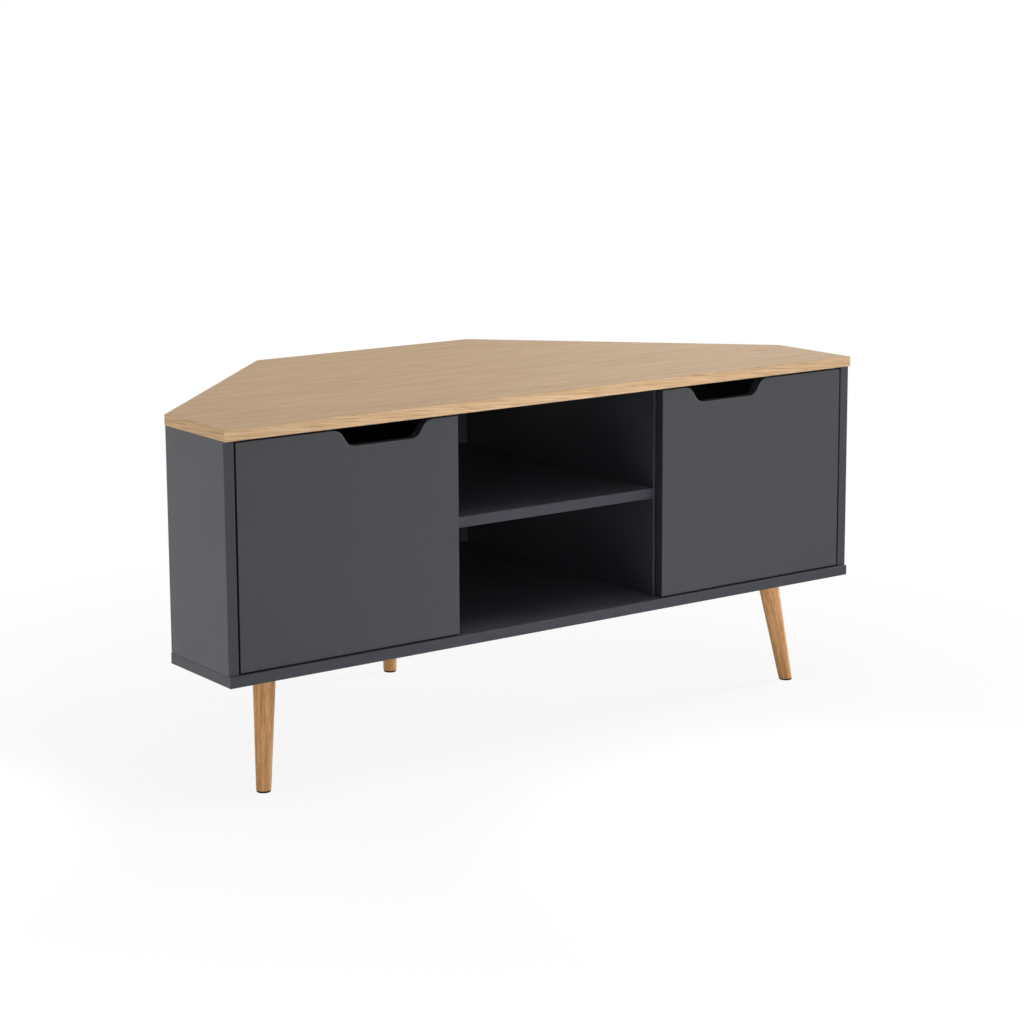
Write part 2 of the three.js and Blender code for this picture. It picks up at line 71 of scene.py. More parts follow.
# A noise's values lie mostly within NOISE_SPAN, and TONE_SPAN cuts a little off their ends.
NOISE_SPAN = (0.3, 0.7)
TONE_SPAN = (0.35, 0.65)
SOFT_DETAIL, FINE_DETAIL, FINEST_DETAIL = 1.0, 2.0, 3.0


class Side(Enum):
    """The half of the cabinet that a piece belongs to, with the sign of its X."""

    LEFT = -1
    RIGHT = 1

    @property
    def word(self) -> str:
        """The side's name as it stands in node names."""
        return self.name.lower()


class Level(Enum):
    """The hinge's place on the door."""

    UPPER = "upper"
    LOWER = "lower"


class Facing(Enum):
    """The axis that a board's two broad faces look along."""

    SIDEWAYS = (1.0, 0.0, 0.0)
    FORWARDS = (0.0, 1.0, 0.0)
    UPWARDS = (0.0, 0.0, 1.0)


def linear(colour: str) -> tuple[float, float, float, float]:
    """Turns an sRGB hex colour into linear values.

    Args:
        colour: Six hex digits after a hash sign.

    Returns:
        Linear red, green and blue, and an alpha of one.
    """
    values = [int(colour[i:i + 2], 16) / 255 for i in (1, 3, 5)]
    turned = [v / 12.92 if v <= 0.04045 else ((v + 0.055) / 1.055) ** 2.4 for v in values]
    return (*turned, 1.0)


def add_node(tree: bpy.types.NodeTree, kind: str, inputs: dict[Any, Any] | None = None,
             **settings: Any) -> bpy.types.Node:
    """Adds a node with its settings, values and links.

    Args:
        tree: The tree that takes the node.
        kind: The node's type name.
        inputs: Socket names or numbers, each with a value or with the socket that feeds it.
        settings: The node's own settings.

    Returns:
        The new node.
    """
    made = tree.nodes.new(kind)
    for name, value in settings.items():
        setattr(made, name, value)
    for key, value in (inputs or {}).items():
        if isinstance(value, bpy.types.NodeSocket):
            tree.links.new(value, made.inputs[key])
        else:
            made.inputs[key].default_value = value
    return made


def new_material(name: str) -> tuple[bpy.types.Material, bpy.types.NodeTree]:
    """Makes a material with an empty node tree.

    Args:
        name: The material's name.

    Returns:
        The material and its tree.
    """
    material = bpy.data.materials.new(name)
    material.use_nodes = True
    material.node_tree.nodes.clear()
    return material, material.node_tree


def finish_surface(tree: bpy.types.NodeTree, inputs: dict[Any, Any]) -> None:
    """Closes a material's tree with a Principled shader that takes these values and links."""
    shader = add_node(tree, "ShaderNodeBsdfPrincipled", inputs)
    add_node(tree, "ShaderNodeOutputMaterial", {"Surface": shader.outputs["BSDF"]})


def ramp(tree: bpy.types.NodeTree, factor: bpy.types.NodeSocket,
         stops: Iterable[tuple[float, str]]) -> bpy.types.NodeSocket:
    """Colours a value between stops.

    Args:
        tree: The material's tree.
        factor: The value's socket.
        stops: Places with their sRGB hex colours, lowest first.

    Returns:
        The colour's socket.
    """
    made = add_node(tree, "ShaderNodeValToRGB", {0: factor})
    elements = made.color_ramp.elements
    placed = list(stops)
    while len(elements) < len(placed):
        elements.new(0.5)
    for element, (place, colour) in zip(elements, placed):
        element.position = place
        element.color = linear(colour)
    return made.outputs["Color"]


def band(tree: bpy.types.NodeTree, factor: bpy.types.NodeSocket, low: float, high: float,
         to_low: float = 0.0, to_high: float = 1.0) -> bpy.types.NodeSocket:
    """Stretches a value between two limits onto a new range.

    Args:
        tree: The material's tree.
        factor: The value's socket.
        low: Value that gives to_low.
        high: Value that gives to_high.
        to_low: Result at the low limit.
        to_high: Result at the high limit.

    Returns:
        The result's socket.
    """
    made = add_node(tree, "ShaderNodeMapRange",
                    {0: factor, 1: low, 2: high, 3: to_low, 4: to_high})
    return made.outputs[0]


def tint(tree: bpy.types.NodeTree, factor: Any, base: Any, over: Any,
         blend: str = "MIX") -> bpy.types.NodeSocket:
    """Lays one colour over another.

    Args:
        tree: The material's tree.
        factor: How much of the upper colour shows.
        base: The lower colour.
        over: The upper colour.
        blend: The blend type.

    Returns:
        The colour's socket.
    """
    made = add_node(tree, "ShaderNodeMix", {0: factor, 6: base, 7: over},
                    data_type="RGBA", blend_type=blend)
    return made.outputs[2]


def speckle(tree: bpy.types.NodeTree, place: bpy.types.NodeSocket, size_mm: float,
            detail: float) -> bpy.types.NodeSocket:
    """Draws noise of one size in every direction.

    Args:
        tree: The material's tree.
        place: Coordinates in metres.
        size_mm: Size of a speck.
        detail: Detail of the noise.

    Returns:
        The noise's value.
    """
    noise = add_node(tree, "ShaderNodeTexNoise",
                     {"Vector": place, "Scale": 1 / (size_mm * MM), "Detail": detail})
    return noise.outputs[0]


def relief(tree: bpy.types.NodeTree, height: bpy.types.NodeSocket, strength: float,
           depth_mm: float, invert: bool = False) -> bpy.types.NodeSocket:
    """Raises a surface very slightly.

    Args:
        tree: The material's tree.
        height: The height's socket, from zero to one.
        strength: Share of the effect.
        depth_mm: Depth of the relief.
        invert: Whether high values are sunk instead.

    Returns:
        The normal's socket.
    """
    made = add_node(tree, "ShaderNodeBump",
                    {"Height": height, "Strength": strength, "Distance": depth_mm * MM},
                    invert=invert)
    return made.outputs[0]


@dataclass(frozen=True)
class OakGrain:
    """Straight-grained oak under a thin satin lacquer.

    Slow bands of tone run along the boards, with long fine streaks in them and short dark pores
    that catch no gloss. A board may carry a plain backing sheet on its underside instead.
    """

    name: str
    light: str
    dark: str
    pore: str
    turn: tuple[float, float, float] = (0.0, 0.0, 0.0)
    band_mm: tuple[float, float] = (1300.0, 46.0)
    streak_mm: tuple[float, float] = (520.0, 9.0)
    thread_mm: tuple[float, float] = (260.0, 1.8)
    pore_mm: tuple[float, float] = (18.0, 0.9)
    weights: tuple[float, float, float] = (0.45, 0.3, 0.25)
    wander_mm: float = 14.0
    pore_share: float = 0.3
    roughness: float = 0.6
    backing: str | None = None
    detail: tuple[float, float, float] = (FINE_DETAIL, FINE_DETAIL, FINEST_DETAIL)
    fuzz: float = 0.55
    distortion: float = 0.2
    drift_scale: float = 2.2
    tone_ends: tuple[float, float] = (0.40, 0.60)
    pore_ends: tuple[float, float] = (0.56, 0.66)
    pore_dulling: float = 0.16
    relief_strength: float = 0.1
    relief_mm: float = 0.15
    ior: float = 1.45
    specular: float = 0.3
    under_ends: tuple[float, float] = (-0.65, -0.35)

    def streaks(self, tree: bpy.types.NodeTree, place: bpy.types.NodeSocket,
                size_mm: tuple[float, float], detail: float) -> bpy.types.NodeSocket:
        """Draws noise that is stretched along the grain.

        Args:
            tree: The material's tree.
            place: Coordinates with the grain along X.
            size_mm: Length and width of a streak.
            detail: Detail of the noise.

        Returns:
            The noise's value.
        """
        length, width = size_mm
        across = 1 / (width * MM)
        scale = (1 / (length * MM), across, across)
        mapped = add_node(tree, "ShaderNodeMapping", {"Vector": place, "Scale": scale})
        noise = add_node(tree, "ShaderNodeTexNoise",
                         {"Vector": mapped.outputs[0], "Scale": 1.0, "Detail": detail,
                          "Roughness": self.fuzz, "Distortion": self.distortion})
        return noise.outputs[0]

    def material(self) -> bpy.types.Material:
        """Builds the oak's material.

        Returns:
            The material.
        """
        made, tree = new_material(self.name)
        coords = add_node(tree, "ShaderNodeTexCoord").outputs
        turned = add_node(tree, "ShaderNodeMapping",
                          {"Vector": coords["Object"], "Rotation": self.turn})
        place = turned.outputs[0]
        drift = add_node(tree, "ShaderNodeTexNoise",
                         {"Vector": place, "Scale": self.drift_scale, "Detail": SOFT_DETAIL})
        centred = add_node(tree, "ShaderNodeVectorMath",
                           {0: drift.outputs[1], 1: (0.5, 0.5, 0.5)}, operation="SUBTRACT")
        sway = (0.0, self.wander_mm * MM, self.wander_mm * MM)
        wander = add_node(tree, "ShaderNodeVectorMath", {0: centred.outputs[0], 1: sway},
                          operation="MULTIPLY")
        bent = add_node(tree, "ShaderNodeVectorMath", {0: place, 1: wander.outputs[0]},
                        operation="ADD").outputs[0]
        tone: Any = 0.0
        for size_mm, detail, weight in zip((self.band_mm, self.streak_mm, self.thread_mm),
                                           self.detail, self.weights):
            layer = self.streaks(tree, bent, size_mm, detail)
            tone = add_node(tree, "ShaderNodeMath", {0: layer, 1: weight, 2: tone},
                            operation="MULTIPLY_ADD").outputs[0]
        wood = ramp(tree, tone, zip(self.tone_ends, (self.dark, self.light)))
        pores = self.streaks(tree, bent, self.pore_mm, SOFT_DETAIL)
        dots = band(tree, pores, *self.pore_ends, 0.0, self.pore_share)
        colour = tint(tree, dots, wood, linear(self.pore))
        if self.backing:
            facing = add_node(tree, "ShaderNodeSeparateXYZ", {0: coords["Normal"]})
            under = band(tree, facing.outputs["Z"], *self.under_ends, 1.0, 0.0)
            colour = tint(tree, under, colour, linear(self.backing))
        gloss = band(tree, dots, 0.0, self.pore_share, self.roughness,
                     self.roughness + self.pore_dulling)
        normal = relief(tree, pores, self.relief_strength, self.relief_mm, invert=True)
        finish_surface(tree, {"Base Color": colour, "Roughness": gloss, "IOR": self.ior,
                              "Specular IOR Level": self.specular, "Normal": normal})
        return made


@dataclass(frozen=True)
class SatinLacquer:
    """Anthracite satin lacquer, sprayed on fibreboard.

    The spray leaves a very fine peel that scatters the light. The cut edges drink more lacquer, so
    they end up darker and bluer, with faint streaks along the board where its fibres lie. The peel
    is drawn at 1.4 mm, coarser than life, so that it shows.
    """

    name: str
    face: str
    edge: str
    facing: Facing | None = None
    roughness: float = 0.42
    edge_roughness: float = 0.42
    edge_ends: tuple[float, float] = (0.35, 0.65)
    peel_mm: float = 1.4
    cloud_mm: float = 90.0
    fibre_mm: tuple[float, float] = (18.0, 2.2)
    peel_tone: float = 0.045
    cloud_tone: float = 0.03
    cloud_gloss: float = 0.03
    fibre_tone: float = 0.2
    relief_strength: float = 0.12
    relief_mm: float = 0.1
    ior: float = 1.5
    specular: float = 0.5

    def edge_share(self, tree: bpy.types.NodeTree, coords: bpy.types.Node) -> Any:
        """Finds how much a point belongs to the board's edges.

        Args:
            tree: The material's tree.
            coords: The texture coordinate node.

        Returns:
            One on the edges and zero on the faces, or zero for a board whose edges aren't seen.
        """
        if self.facing is None:
            return 0.0
        along = add_node(tree, "ShaderNodeVectorMath",
                         {0: coords.outputs["Normal"], 1: self.facing.value},
                         operation="DOT_PRODUCT")
        size = add_node(tree, "ShaderNodeMath", {0: along.outputs["Value"]}, operation="ABSOLUTE")
        return band(tree, size.outputs[0], *self.edge_ends, 1.0, 0.0)

    def edge_colour(self, tree: bpy.types.NodeTree, coords: bpy.types.Node) -> Any:
        """Streaks the edges along the board.

        Args:
            tree: The material's tree.
            coords: The texture coordinate node.

        Returns:
            The colour's socket, or the plain colour for a board whose edges aren't seen.
        """
        if self.facing is None:
            return linear(self.edge)
        length, width = self.fibre_mm
        scale = [1 / ((width if across else length) * MM) for across in self.facing.value]
        laid = add_node(tree, "ShaderNodeMapping",
                        {"Vector": coords.outputs["Object"], "Scale": scale})
        fibres = add_node(tree, "ShaderNodeTexNoise",
                          {"Vector": laid.outputs[0], "Scale": 1.0, "Detail": FINE_DETAIL})
        streaks = band(tree, fibres.outputs[0], *NOISE_SPAN, 1 - self.fibre_tone, 1 + self.fibre_tone)
        return tint(tree, 1.0, linear(self.edge), streaks, "MULTIPLY")

    def material(self) -> bpy.types.Material:
        """Builds the board's material.

        Returns:
            The material.
        """
        made, tree = new_material(self.name)
        coords = add_node(tree, "ShaderNodeTexCoord")
        place = coords.outputs["Object"]
        peel = speckle(tree, place, self.peel_mm, FINE_DETAIL)
        cloud = speckle(tree, place, self.cloud_mm, FINEST_DETAIL)
        share = self.edge_share(tree, coords)
        board = tint(tree, share, linear(self.face), self.edge_colour(tree, coords))
        shade = band(tree, peel, *NOISE_SPAN, 1 - self.peel_tone, 1 + self.peel_tone)
        drift = band(tree, cloud, *NOISE_SPAN, 1 - self.cloud_tone, 1 + self.cloud_tone)
        grain = add_node(tree, "ShaderNodeMath", {0: shade, 1: drift}, operation="MULTIPLY")
        colour = tint(tree, 1.0, board, grain.outputs[0], "MULTIPLY")
        sheen = band(tree, cloud, *NOISE_SPAN, self.roughness - self.cloud_gloss,
                     self.roughness + self.cloud_gloss)
        gloss = add_node(tree, "ShaderNodeMath",
                         {0: share, 1: self.edge_roughness - self.roughness, 2: sheen},
                         operation="MULTIPLY_ADD").outputs[0]
        normal = relief(tree, peel, self.relief_strength, self.relief_mm)
        finish_surface(tree, {"Base Color": colour, "Roughness": gloss, "IOR": self.ior,
                              "Specular IOR Level": self.specular, "Normal": normal})
        return made


@dataclass(frozen=True)
class WorkedMetal:
    """Pressed or turned metal: steel under nickel or zinc, or plain brass.

    Nickel is warm and bright, zinc is greyer and brass is yellow. A faint spangle of a few
    millimetres shifts the tone and the gloss of each.
    """

    name: str
    colour: str
    shade: str
    roughness: float
    spangle_mm: float = 3.0
    sharper: float = 0.02
    duller: float = 0.03
    relief_strength: float = 0.04
    relief_mm: float = 0.02

    def material(self) -> bpy.types.Material:
        """Builds the metal's material.

        Returns:
            The material.
        """
        made, tree = new_material(self.name)
        place = add_node(tree, "ShaderNodeTexCoord").outputs["Object"]
        spangle = speckle(tree, place, self.spangle_mm, FINEST_DETAIL)
        colour = ramp(tree, spangle, zip(TONE_SPAN, (self.shade, self.colour)))
        gloss = band(tree, spangle, *NOISE_SPAN, self.roughness - self.sharper,
                     self.roughness + self.duller)
        normal = relief(tree, spangle, self.relief_strength, self.relief_mm)
        finish_surface(tree, {"Base Color": colour, "Metallic": 1.0, "Roughness": gloss,
                              "Normal": normal})
        return made


@dataclass(frozen=True)
class MouldedPlastic:
    """Injection-moulded plastic with the fine matt texture of its mould."""

    name: str
    colour: str
    shade: str
    roughness: float
    specular: float = 0.5
    texture_mm: float = 0.8
    texture_gloss: float = 0.05
    relief_strength: float = 0.15
    relief_mm: float = 0.05
    ior: float = 1.49

    def material(self) -> bpy.types.Material:
        """Builds the plastic's material.

        Returns:
            The material.
        """
        made, tree = new_material(self.name)
        place = add_node(tree, "ShaderNodeTexCoord").outputs["Object"]
        texture = speckle(tree, place, self.texture_mm, FINE_DETAIL)
        colour = ramp(tree, texture, zip(TONE_SPAN, (self.shade, self.colour)))
        gloss = band(tree, texture, *NOISE_SPAN, self.roughness - self.texture_gloss,
                     self.roughness + self.texture_gloss)
        normal = relief(tree, texture, self.relief_strength, self.relief_mm)
        finish_surface(tree, {"Base Color": colour, "Roughness": gloss, "IOR": self.ior,
                              "Specular IOR Level": self.specular, "Normal": normal})
        return made


def dress(node: str, material: bpy.types.Material) -> None:
    """Gives a CAD node its finish.

    Args:
        node: The node's name.
        material: Its material.
    """
    thing = next(o for o in bpy.context.scene.objects if o.get("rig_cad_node") == node)
    if not thing.material_slots:
        thing.data.materials.append(material)
    for place in thing.material_slots:
        place.material = material
    log.info("dressed %s with %s", node, material.name)


def finished_piece(name: str, shape: bmesh.types.BMesh, material: bpy.types.Material, body: str,
                   replaced: Iterable[str] = ()) -> None:
    """Turns a bmesh into a shaded piece that rides on a body.

    Args:
        name: The piece's name.
        shape: Its bmesh, which is freed here.
        material: Its finish.
        body: The CAD body that carries it.
        replaced: CAD nodes that the piece stands for.
    """
    bmesh.ops.remove_doubles(shape, verts=shape.verts, dist=WELD)
    bmesh.ops.recalc_face_normals(shape, faces=shape.faces)
    for face in shape.faces:
        face.smooth = True
    for edge in shape.edges:
        edge.smooth = len(edge.link_faces) == 2 and edge.calc_face_angle(0) < CREASE
    mesh = bpy.data.meshes.new(name)
    shape.to_mesh(mesh)
    shape.free()
    mesh.materials.append(material)
    thing = bpy.data.objects.new(name, mesh)
    bpy.context.scene.collection.objects.link(thing)
    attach(thing, body)
    if replaced:
        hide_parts(*replaced)
    log.info("made %s with %d faces", name, len(mesh.polygons))


def rim_edges(shape: bmesh.types.BMesh, height: float) -> list[bmesh.types.BMEdge]:
    """The edges that lie level at a height."""
    return [e for e in shape.edges if all(abs(v.co.z - height) < SAME_HEIGHT for v in e.verts)]


def stub(radius: float, height: float, facets: int, foot: float = 0.0,
         top_radius: float | None = None) -> bmesh.types.BMesh:
    """Builds an upright round stub.

    Args:
        radius: Radius of its foot.
        height: Its height.
        facets: Number of facets round it.
        foot: Height of its foot above z = 0.
        top_radius: Radius of its top, where that differs.

    Returns:
        The stub's bmesh.
    """
    shape = bmesh.new()
    bmesh.ops.create_cone(shape, cap_ends=True, cap_tris=False, segments=facets, radius1=radius,
                          radius2=radius if top_radius is None else top_radius, depth=height)
    bmesh.ops.translate(shape, verts=shape.verts, vec=(0, 0, foot + height / 2))
    return shape


def round_rim(shape: bmesh.types.BMesh, height: float, reach: float, steps: int) -> None:
    """Rounds the edges that lie level at a height, over a reach and in a number of steps."""
    bmesh.ops.bevel(shape, geom=rim_edges(shape, height), offset=reach, segments=steps,
                    profile=0.5, affect="EDGES", material=-1)


@dataclass
class Leg:
    """A tapered round oak leg on its glide, cut level at both ends."""

    node: str
    foot: tuple[float, float]
    lean: tuple[float, float]
    height: float = 0.175
    glide_height: float = 0.0025
    top_radius: float = 0.017
    foot_radius: float = 0.01075
    glide_margin: float = 0.0005
    bore_radius: float = 0.0043
    bore_depth: float = 0.0303
    arris: float = 0.0009
    glide_arris: float = 0.0007
    arris_steps: int = 3
    facets: int = 72

    def leaning(self) -> Matrix:
        """The place of the leg: widened along its lean, sheared onto its axis and moved.

        Returns:
            The matrix that takes an upright leg on the origin to its place.
        """
        span = math.hypot(*self.lean)
        widen = Matrix.Identity(4)
        if span > 0:
            direction = Vector((*self.lean, 0.0)).normalized()
            factor = math.hypot(span, self.height) / self.height
            widen = Matrix.Scale(factor, 4, direction)
        shear = Matrix.Identity(4)
        shear[0][2] = self.lean[0] / self.height
        shear[1][2] = self.lean[1] / self.height
        return Matrix.Translation((*self.foot, 0.0)) @ shear @ widen

    def radius_at(self, height: float) -> float:
        """The leg's radius at a height, without its widening."""
        return self.foot_radius + (self.top_radius - self.foot_radius) * height / self.height

    def shaft(self) -> bmesh.types.BMesh:
        """Builds the turned shaft with the bore for its bolt.

        Returns:
            The shaft's bmesh.
        """
        shape = stub(self.radius_at(self.glide_height), self.height - self.glide_height,
                     self.facets, foot=self.glide_height, top_radius=self.top_radius)
        top = max(shape.faces, key=lambda f: f.calc_center_median().z)
        bmesh.ops.inset_region(shape, faces=[top], thickness=self.top_radius - self.bore_radius)
        round_rim(shape, self.glide_height, self.arris, self.arris_steps)
        bmesh.ops.transform(shape, verts=shape.verts, matrix=self.leaning())
        top = next(f for f in shape.faces if len(f.verts) == self.facets
                   and f.calc_center_median().z > self.height / 2)
        axis = Vector((self.foot[0] + self.lean[0], self.foot[1] + self.lean[1], self.height))
        for vert in top.verts:
            vert.co = axis + (vert.co - axis).normalized() * self.bore_radius
        sunk = bmesh.ops.extrude_discrete_faces(shape, faces=[top])["faces"]
        bmesh.ops.translate(shape, verts=sunk[0].verts, vec=(0, 0, -self.bore_depth))
        return shape

    def glide(self) -> bmesh.types.BMesh:
        """Builds the glide under the leg.

        Returns:
            The glide's bmesh.
        """
        shape = stub(self.radius_at(0) - self.glide_margin, self.glide_height, self.facets)
        round_rim(shape, 0.0, self.glide_arris, self.arris_steps)
        bmesh.ops.transform(shape, verts=shape.verts, matrix=self.leaning())
        return shape

    def grain_turn(self) -> tuple[float, float, float]:
        """The turn that brings the leg's axis onto the grain's X axis."""
        axis = Vector((*self.lean, self.height)).normalized()
        return tuple(axis.rotation_difference(Vector((1, 0, 0))).to_euler())

    def oak(self) -> OakGrain:
        """Makes the leg's oak.

        Returns:
            The finish, its grain along the leg.
        """
        return OakGrain(f"turned_oak_{self.node}", light="#F9C285", dark="#C98C53", pore="#8A5026",
                        turn=self.grain_turn(), band_mm=(260, 7), streak_mm=(150, 2.6),
                        thread_mm=(80, 1.1), pore_mm=(16, 0.8), weights=(0.3, 0.45, 0.25),
                        wander_mm=3, pore_share=0.4, roughness=0.45)

    def build(self, glide_finish: bpy.types.Material, insert_finish: bpy.types.Material,
              bolt_finish: bpy.types.Material) -> None:
        """Builds and dresses the leg with its glide, insert and bolt.

        Args:
            glide_finish: The glide's material.
            insert_finish: The threaded insert's material.
            bolt_finish: The hanger bolt's material.
        """
        finished_piece(f"{self.node}_turned", self.shaft(), self.oak().material(), "cabinet",
                       replaced=[self.node])
        finished_piece(f"{self.node}_glide", self.glide(), glide_finish, "cabinet",
                       replaced=[f"{self.node}_pad"])
        dress(f"{self.node}_insert", insert_finish)
        dress(f"{self.node}_bolt", bolt_finish)


@dataclass
class Underframe:
    """The three legs: two splayed in front and an upright one at the middle of the back."""

    front_foot: tuple[float, float] = (0.495, -0.220)
    front_lean: tuple[float, float] = (0.021, 0.027)
    back_foot: tuple[float, float] = (0.0, 0.211)

    def build(self, glide: bpy.types.Material, brass: bpy.types.Material,
              zinc: bpy.types.Material) -> None:
        """Builds the legs.

        Args:
            glide: The glides' material.
            brass: The threaded inserts' material.
            zinc: The hanger bolts' material.
        """
        foot_x, foot_y = self.front_foot
        lean_x, lean_y = self.front_lean
        for side in Side:
            leg = Leg(f"front_{side.word}_leg", (side.value * foot_x, foot_y),
                      (-side.value * lean_x, lean_y))
            leg.build(glide, brass, zinc)
        Leg("back_leg", self.back_foot, (0.0, 0.0)).build(glide, brass, zinc)


@dataclass
class Top:
    """The oak-faced top with its six edge bands."""

    slant_back: float = 0.380
    slant_across: float = 0.370
    band_slope: float = math.radians(-4)
    panel: OakGrain = field(default_factory=lambda: OakGrain(
        "oak_faced_board", light="#D6B590", dark="#C4A27C", pore="#A58059",
        band_mm=(900.0, 36.0), streak_mm=(200.0, 6.0), thread_mm=(70.0, 3.2),
        weights=(0.12, 0.44, 0.44), pore_share=0.25, backing="#4A4B4E"))

    def band_finish(self, edge: str, angle: float) -> OakGrain:
        """Makes an edge band's oak.

        Args:
            edge: The edge's name.
            angle: The edge's angle from X, in radians.

        Returns:
            The finish, its grain along the edge and sloping slightly across it.
        """
        turn = Matrix.Rotation(self.band_slope, 3, "Y") @ Matrix.Rotation(-angle, 3, "Z")
        return OakGrain(f"oak_edge_{edge}", light="#E8C79F", dark="#D1AA7E", pore="#98734B",
                        turn=tuple(turn.to_euler()), band_mm=(300, 10), streak_mm=(120, 2.4),
                        thread_mm=(70, 1.5), pore_mm=(60, 1.2), weights=(0.12, 0.43, 0.45),
                        wander_mm=4, pore_share=0.5)

    def build(self) -> None:
        """Dresses the panel and the bands."""
        dress("top_panel", self.panel.material())
        slant = math.atan2(self.slant_back, self.slant_across)
        angles = {"front": 0.0, "back": 0.0, "left": math.pi / 2, "right": math.pi / 2,
                  "back_left": slant, "back_right": -slant}
        for edge, angle in angles.items():
            dress(f"top_band_{edge}", self.band_finish(edge, angle).material())


@dataclass
class Carcass:
    """Base, sides, dividers, shelf, back panels and shelf pins."""

    face: str = "#3B3C42"
    edge: str = "#2B2D37"
    roughness: float = 0.42
    level_roughness: float = 0.54

    def board(self, name: str, facing: Facing | None, roughness: float) -> bpy.types.Material:
        """A board's finish, with its broad faces across one axis."""
        return SatinLacquer(name, self.face, self.edge, facing, roughness).material()

    def build(self, pin_finish: bpy.types.Material) -> None:
        """Dresses the boards and the pins.

        Args:
            pin_finish: The shelf pins' material.
        """
        level = self.board("lacquer_level", Facing.UPWARDS, self.level_roughness)
        upright = self.board("lacquer_upright", Facing.SIDEWAYS, self.roughness)
        plain = self.board("lacquer_plain", None, self.roughness)
        for node in ("base_panel", "centre_shelf"):
            dress(node, level)
        for side in Side:
            dress(f"{side.word}_side_panel", upright)
            dress(f"{side.word}_divider", upright)
            for end in ("front", "back"):
                dress(f"shelf_pin_{side.word}_{end}", pin_finish)
        for node in ("back_panel_centre", "back_panel_left", "back_panel_right"):
            dress(node, plain)


@dataclass
class Screw:
    """A pan-head screw with a cross recess, seen as its head alone."""

    radius: float = 0.0036
    height: float = 0.0019
    cross_width: float = 0.0011
    cross_reach: float = 0.0021
    cross_depth: float = 0.0009
    rounding: float = 0.62
    rounding_steps: int = 4
    facets: int = 32

    def head(self) -> bmesh.types.BMesh:
        """Builds the head, standing on z = 0.

        Returns:
            The head's bmesh.
        """
        shape = stub(self.radius, self.height, self.facets)
        round_rim(shape, self.height, self.height * self.rounding, self.rounding_steps)
        for axis in (Vector((1, 0, 0)), Vector((0, 1, 0))):
            for offset in (self.cross_width / 2, self.cross_reach):
                for sign in (-1, 1):
                    faces = [f for f in shape.faces if f.normal.z > LOOKS_UP]
                    geom = faces + [e for f in faces for e in f.edges]
                    geom += [v for f in faces for v in f.verts]
                    bmesh.ops.bisect_plane(shape, geom=list(dict.fromkeys(geom)),
                                           plane_co=axis * offset * sign, plane_no=axis)
        cross = [f for f in shape.faces if f.normal.z > LOOKS_UP and self.in_cross(f)]
        walls = bmesh.ops.extrude_face_region(shape, geom=cross)["geom"]
        sunk = [v for v in walls if isinstance(v, bmesh.types.BMVert)]
        bmesh.ops.translate(shape, verts=sunk, vec=(0, 0, -self.cross_depth))
        bmesh.ops.delete(shape, geom=cross, context="FACES_ONLY")
        return shape

    def in_cross(self, face: bmesh.types.BMFace) -> bool:
        """Tells the faces of the recess from the rest of the head's top.

        Args:
            face: A face of the flat top.

        Returns:
            Whether it belongs to the recess.
        """
        middle = face.calc_center_median()
        near, far = sorted((abs(middle.x), abs(middle.y)))
        return near < self.cross_width / 2 and far < self.cross_reach


@dataclass
class Hinge:
    """A concealed hinge: its finishes and its screws."""

    side: Side
    level: Level
    height: float
    door_edge_x: float = 0.556
    door_front_y: float = -0.271
    flange_y: float = -0.2538
    cup_screw_u: float = 0.032
    cup_screw_reach: float = 0.0225
    plate_face_u: float = 0.0005
    plate_screw_w: float = 0.061
    plate_screw_reach: float = 0.016
    arm_face_u: float = 0.0033
    arm_screw_ws: tuple[float, float] = (0.052, 0.072)
    screw: Screw = field(default_factory=Screw)
    arm_screw: Screw = field(default_factory=lambda: Screw(
        radius=0.0031, height=0.0016, cross_reach=0.0017, cross_width=0.0009))

    @property
    def stem(self) -> str:
        """The start of the hinge's node names."""
        return f"{self.side.word}_{self.level.value}_hinge"

    def screws(self, name: str, screw: Screw, places: list[tuple[Vector, Vector]], body: str,
               finish: bpy.types.Material) -> None:
        """Builds screw heads as one piece.

        Args:
            name: The piece's name.
            screw: The screw's sizes.
            places: Each head's seat and the direction that it faces.
            body: The body that carries the heads.
            finish: Their material.
        """
        whole = bmesh.new()
        for seat, facing in places:
            part = screw.head()
            turn = Vector((0, 0, 1)).rotation_difference(facing).to_matrix().to_4x4()
            bmesh.ops.transform(part, verts=part.verts, matrix=Matrix.Translation(seat) @ turn)
            mesh = bpy.data.meshes.new("head")
            part.to_mesh(mesh)
            part.free()
            whole.from_mesh(mesh)
            bpy.data.meshes.remove(mesh)
        finished_piece(name, whole, finish, body)

    def build(self, nickel: bpy.types.Material, zinc: bpy.types.Material) -> None:
        """Dresses the hinge and adds its screws.

        Args:
            nickel: Material of cup and arm.
            zinc: Material of pin, plate and screws.
        """
        for part, finish in (("cup", nickel), ("arm", nickel), ("pin", zinc), ("plate", zinc)):
            dress(f"{self.stem}_{part}", finish)
        sign = self.side.value
        inwards = Vector((-sign, 0, 0))
        edge = Vector((sign * self.door_edge_x, self.door_front_y, self.height))
        cup_places = [
            (Vector((edge.x - sign * self.cup_screw_u, self.flange_y, self.height + rise)),
             Vector((0, 1, 0)))
            for rise in (-self.cup_screw_reach, self.cup_screw_reach)]
        plate_places = [
            (edge + inwards * self.plate_face_u + Vector((0, self.plate_screw_w, rise)), inwards)
            for rise in (-self.plate_screw_reach, self.plate_screw_reach)]
        arm_places = [(edge + inwards * self.arm_face_u + Vector((0, w, 0)), inwards)
                      for w in self.arm_screw_ws]
        for part, screw, places, body in (
                ("cup", self.screw, cup_places, f"{self.side.word}_door"),
                ("plate", self.screw, plate_places, "cabinet"),
                ("arm", self.arm_screw, arm_places, "cabinet")):
            self.screws(f"{self.stem}_{part}_screws", screw, places, body, zinc)


